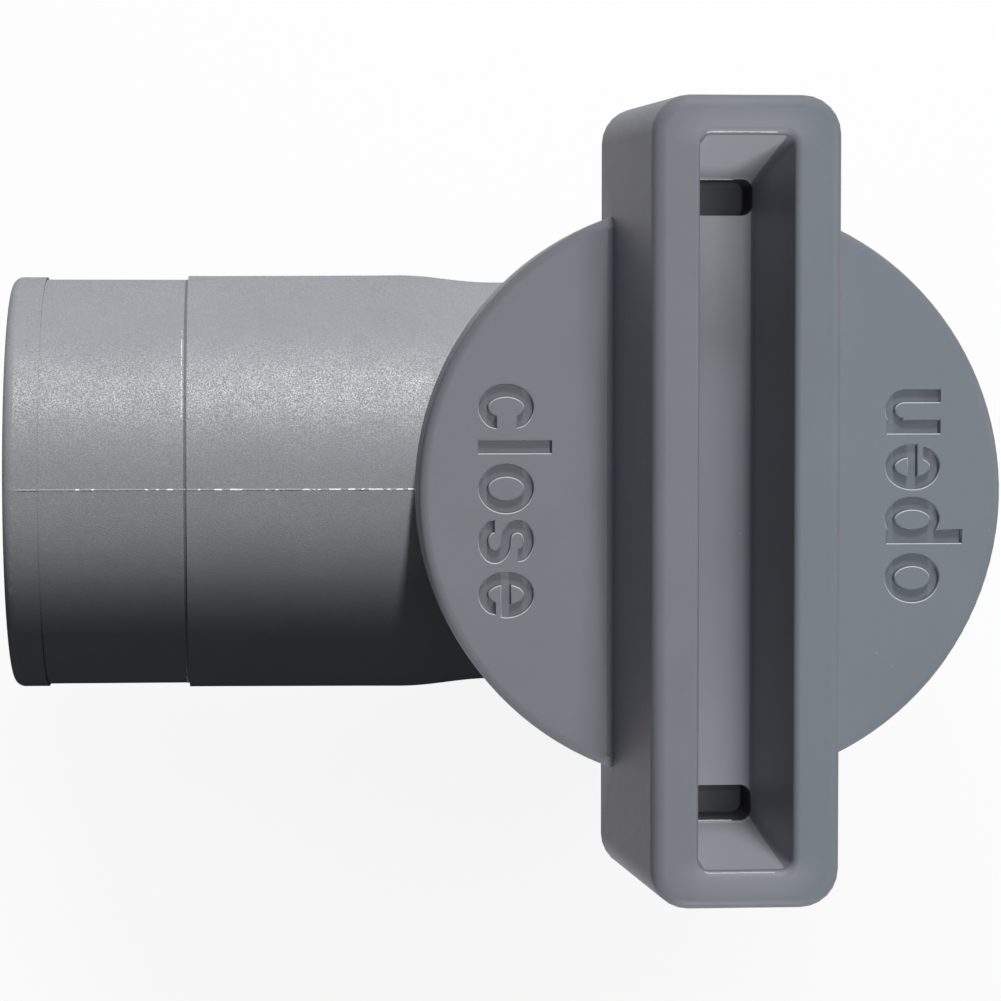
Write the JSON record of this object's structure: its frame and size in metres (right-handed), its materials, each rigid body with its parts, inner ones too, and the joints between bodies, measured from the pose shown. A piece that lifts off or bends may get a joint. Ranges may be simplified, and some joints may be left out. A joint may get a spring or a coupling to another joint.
{
  "type": "tank drain valve",
  "caption": "Half-turn drain valve for a tank, with a box-handled knob in front, a threaded tail behind and a hose outlet square to the knob's axis.",
  "frame": {"origin": "centre of the face that seals against the tank, on the knob's axis", "axes": "+Z along the knob's axis from the tank to the knob, -X along the outlet pipe, +Y completes the right-handed frame"},
  "size_m": [0.0916, 0.0706, 0.1055],
  "materials": {
    "housing_plastic": "satin moulded plastic",
    "knob_plastic": "satin moulded plastic",
    "drum_plastic": "smooth acetal",
    "seal_rubber": "black rubber",
    "screw_steel": "stainless"
  },
  "bodies": {
    "housing": {"valve_body": "housing_plastic", "inlet_tail": "housing_plastic", "tail_seal_ring": "seal_rubber", "tank_gasket": "seal_rubber", "port_seal": "seal_rubber"},
    "rotor": {"rotor_drum": "drum_plastic", "stem_seal_ring": "seal_rubber", "slide_washer": "drum_plastic", "turn_knob": "knob_plastic", "knob_screw": "screw_steel", "screw_washer": "screw_steel"}
  },
  "joints": [
    {"name": "knob_turn", "type": "hinge", "parent": "housing", "child": "rotor", "pos_m": [0, 0, 0.058], "axis": [0, 0, 1], "range_deg": [0, 180]}
  ]
}
